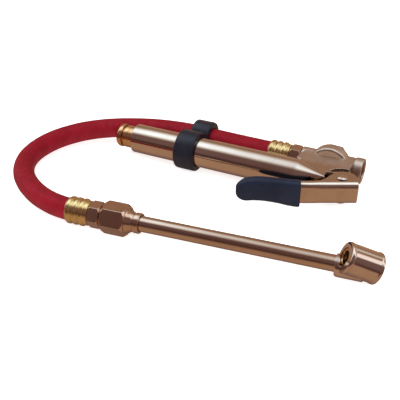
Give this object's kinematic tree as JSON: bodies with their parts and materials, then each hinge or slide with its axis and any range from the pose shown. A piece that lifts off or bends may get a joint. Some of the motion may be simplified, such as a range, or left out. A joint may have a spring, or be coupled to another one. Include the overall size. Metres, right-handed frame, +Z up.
{
  "type": "tyre inflator gauge",
  "caption": "Hand-held air line tyre inflator with a squeeze lever, a pencil gauge, a whip hose and an angled double-ended chuck.",
  "frame": {"origin": "middle of the footprint of the rigid parts, on the surface that the tool lies on", "axes": "+X along the barrel, from the gauge's end towards the air inlet; +Y from the lever towards the hose port; +Z up"},
  "size_m": [0.2578, 0.1326, 0.0268],
  "materials": {
    "chrome": "polished, with warm reflections",
    "brass": "bright",
    "bronzed": "dull, dark",
    "steel": "bright",
    "black_plastic": "moulded",
    "vinyl": "dipped",
    "red_rubber": "satin",
    "black_rubber": "matt",
    "white_nylon": "satin",
    "fibre": "matt"
  },
  "bodies": {
    "tool_body": {"valve_body": "chrome", "gauge_end_plug": "brass", "gauge_tube": "brass", "gauge_gasket": "black_rubber", "gauge_spring": "steel", "inlet_screen": "steel", "valve_plug": "chrome", "plug_gasket": "fibre", "valve_spring": "steel", "stem_guide": "brass", "stem_seal": "black_rubber", "lever_pin": "steel", "pin_clip": "steel", "hose_clip": "black_plastic", "rear_ferrule": "brass", "rear_fitting": "bronzed", "hose": "red_rubber", "front_ferrule": "brass", "front_fitting": "bronzed", "chuck_coupling": "bronzed", "chuck_tube": "chrome", "chuck_head": "chrome", "front_foot_seal": "black_rubber", "front_retainer": "brass", "rear_foot_seal": "black_rubber", "rear_retainer": "brass"},
    "squeeze_lever": {"lever": "chrome", "lever_grip": "vinyl"},
    "valve_stem_body": {"valve_stem": "brass", "valve_seal": "black_rubber"},
    "gauge_slider": {"indicator_bar": "white_nylon", "gauge_piston": "brass", "piston_cup": "black_rubber"},
    "chuck_shuttle": {"foot_shuttle": "steel"}
  },
  "joints": [
    {"name": "lever_pivot", "type": "hinge", "parent": "tool_body", "child": "squeeze_lever", "pos_m": [0.05892, 0.02772, 0.0134], "axis": [0, 0, -1], "range_deg": [0, 8], "stiffness_Nm_per_rad": 0.3, "springref_deg": -5.73},
    {"name": "stem_slide", "type": "slide", "parent": "tool_body", "child": "valve_stem_body", "axis": [0, 1, 0], "range_m": [0, 0.003], "deforming": ["valve_spring"]},
    {"name": "gauge_slide", "type": "slide", "parent": "tool_body", "child": "gauge_slider", "axis": [-1, 0, 0], "range_m": [0, 0.014], "deforming": ["gauge_spring"]},
    {"name": "shuttle_slide", "type": "slide", "parent": "tool_body", "child": "chuck_shuttle", "axis": [0.8369, 0.3849, -0.3891], "range_m": [-0.0015, 0.0015]}
  ],
  "couplings": [
    {"joint": "stem_slide", "follows": "lever_pivot", "m_per_rad": 0.0195}
  ]
}
